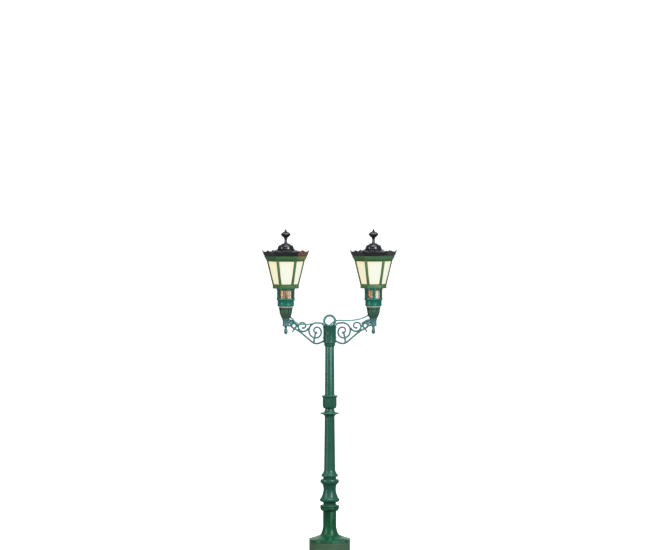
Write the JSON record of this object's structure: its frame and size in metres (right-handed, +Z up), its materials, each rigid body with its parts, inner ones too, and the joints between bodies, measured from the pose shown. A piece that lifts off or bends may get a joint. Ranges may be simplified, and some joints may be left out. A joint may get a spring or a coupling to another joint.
{
  "type": "street lamp post",
  "caption": "Cast street lamp post with a turned mast on a round drum, a pair of scrolled brackets, hexagonal opal lanterns with hinged roofs, and a service door in the base.",
  "frame": {"origin": "on the ground at the middle of the base drum", "axes": "+Z up along the mast; the lanterns stand along -X and +X; the front is -Y and the service door faces +Y"},
  "size_m": [1.526, 0.468, 3.7895],
  "materials": {
    "drum_paint": "matt, brushed",
    "skirt_paint": "semi-gloss",
    "mast_paint": "semi-gloss",
    "bracket_paint": "semi-gloss",
    "neck_paint": "semi-gloss",
    "lantern_paint": "semi-gloss",
    "black_enamel": "gloss",
    "galvanised_steel": "satin",
    "black_steel": "blackened",
    "copper": "satin",
    "brass": "satin",
    "opal_glass": "frosted opal",
    "lamp_glass": "frosted",
    "cream_rubber": "matt",
    "black_rubber": "matt",
    "teal_cable": "satin",
    "black_cable": "satin",
    "grey_plastic": "moulded",
    "white_plastic": "moulded"
  },
  "bodies": {
    "post": {"base_plate": "drum_paint", "base_drum": "drum_paint", "drum_top_ring": "drum_paint", "mast_tube": "galvanised_steel", "foot_bolts": "galvanised_steel", "skirt_casting": "skirt_paint", "skirt_screws": "galvanised_steel", "baluster_casting": "mast_paint", "lower_shaft": "mast_paint", "tulip_collar": "mast_paint", "upper_shaft": "mast_paint", "hub": "mast_paint", "eye_ring": "bracket_paint", "arm_bolts": "galvanised_steel", "fuse_box": "grey_plastic", "fuse_box_cover": "grey_plastic", "mast_cable": "black_cable", "hub_terminal": "white_plastic", "door_hinge_pin": "galvanised_steel", "set_screws": "black_steel", "arm_bracket_left": "bracket_paint", "pendant_left": "mast_paint", "lantern_cup_left": "mast_paint", "cable_gland_left": "black_rubber", "feed_cable_left": "teal_cable", "gasket_left": "cream_rubber", "neck_sleeve_left": "neck_paint", "neck_cage_left": "neck_paint", "lamp_holder_left": "copper", "lamp_left": "lamp_glass", "bottom_rail_left": "lantern_paint", "corner_bars_left": "lantern_paint", "panes_left": "opal_glass", "top_band_left": "lantern_paint", "roof_pin_left": "galvanised_steel", "arm_bracket_right": "bracket_paint", "pendant_right": "mast_paint", "lantern_cup_right": "mast_paint", "cable_gland_right": "black_rubber", "feed_cable_right": "teal_cable", "gasket_right": "cream_rubber", "neck_sleeve_right": "neck_paint", "neck_cage_right": "neck_paint", "lamp_holder_right": "copper", "lamp_right": "lamp_glass", "bottom_rail_right": "lantern_paint", "corner_bars_right": "lantern_paint", "panes_right": "opal_glass", "top_band_right": "lantern_paint", "roof_pin_right": "galvanised_steel"},
    "left_roof": {"roof_left": "black_enamel", "crown_left": "black_enamel", "vent_dome_left": "black_enamel", "finial_left": "black_enamel"},
    "right_roof": {"roof_right": "black_enamel", "crown_right": "black_enamel", "vent_dome_right": "black_enamel", "finial_right": "black_enamel"},
    "door": {"access_door": "drum_paint"},
    "lock": {"door_lock": "brass"}
  },
  "joints": [
    {"name": "roof_hinge_left", "type": "hinge", "parent": "post", "child": "left_roof", "pos_m": [-0.5, 0.22591, 3.476], "axis": [-1, 0, 0], "range_deg": [0, 100]},
    {"name": "roof_hinge_right", "type": "hinge", "parent": "post", "child": "right_roof", "pos_m": [0.5, 0.22591, 3.476], "axis": [-1, 0, 0], "range_deg": [0, 100]},
    {"name": "door_hinge", "type": "hinge", "parent": "post", "child": "door", "pos_m": [0.096, 0.2216, 0.113], "axis": [0, 0, -1], "range_deg": [0, 110]},
    {"name": "door_lock_turn", "type": "hinge", "parent": "door", "child": "lock", "pos_m": [-0.062, 0.188, 0.113], "axis": [0, 1, 0], "range_deg": [0, 90]}
  ]
}
